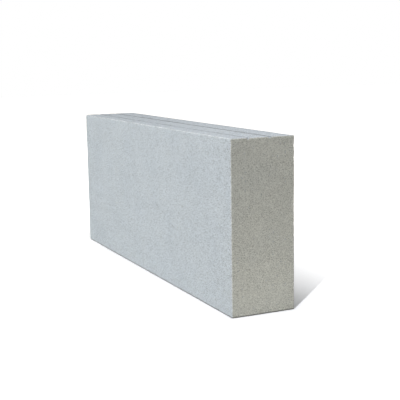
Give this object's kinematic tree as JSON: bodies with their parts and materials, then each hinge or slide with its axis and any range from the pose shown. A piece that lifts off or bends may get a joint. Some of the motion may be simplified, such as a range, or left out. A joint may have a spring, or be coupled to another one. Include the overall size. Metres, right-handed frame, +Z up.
{
  "type": "aerated concrete block",
  "caption": "Flat-sided lightweight aerated concrete block for a glued partition wall, standing on its long narrow bed face, with shallow glue grooves along the top bed face.",
  "frame": {"origin": "centre of the bottom bed face, midway along the block and midway through its thickness", "axes": "+X along the block's length, +Y through its thickness from the front face to the back face, +Z up from the bottom bed face to the grooved top bed face"},
  "size_m": [0.625, 0.1, 0.25],
  "materials": {
    "aerated_concrete": "matte, finely porous"
  },
  "bodies": {
    "root": {"block": "aerated_concrete"}
  },
  "joints": []
}
